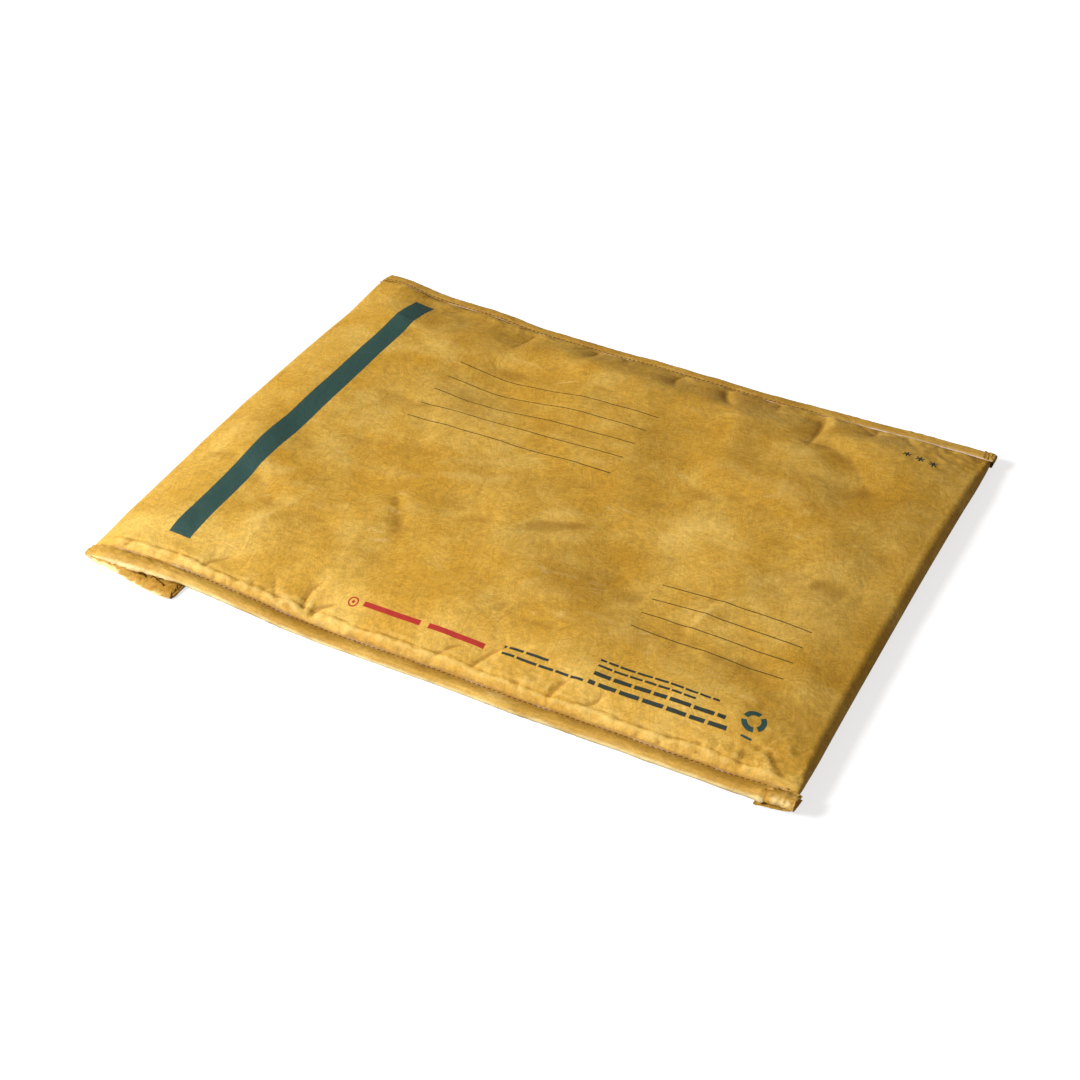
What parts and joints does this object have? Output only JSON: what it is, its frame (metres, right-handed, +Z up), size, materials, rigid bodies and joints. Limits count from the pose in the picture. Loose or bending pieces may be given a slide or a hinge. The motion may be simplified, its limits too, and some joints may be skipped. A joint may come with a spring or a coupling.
{
  "type": "padded envelope sleeve",
  "caption": "Flat padded envelope sleeve with bound side seams, a rounded bottom fold and its mouth flap folded under.",
  "frame": {"origin": "on the ground under the middle of the envelope as it lies", "axes": "+X along the length from the flap crease to the rounded bottom fold, +Y across the width to the far side seam, +Z up out of the front panel"},
  "size_m": [0.35, 0.266, 0.0168],
  "materials": {
    "sheet": "ochre nonwoven polyethylene sheet, satin, softly creased, with plain printed rules",
    "wadding": "off-white polyester wadding, matt",
    "binding": "ochre nonwoven polyethylene tape, folded and stitched",
    "closure": "woven hook and loop tape, matt"
  },
  "bodies": {
    "root": {"outer_shell": "sheet", "wadding": "wadding", "binding_near": "binding", "binding_far": "binding", "flap_binding": "binding", "mouth_binding": "binding", "hook_tape": "closure", "loop_tape": "closure"}
  },
  "joints": []
}
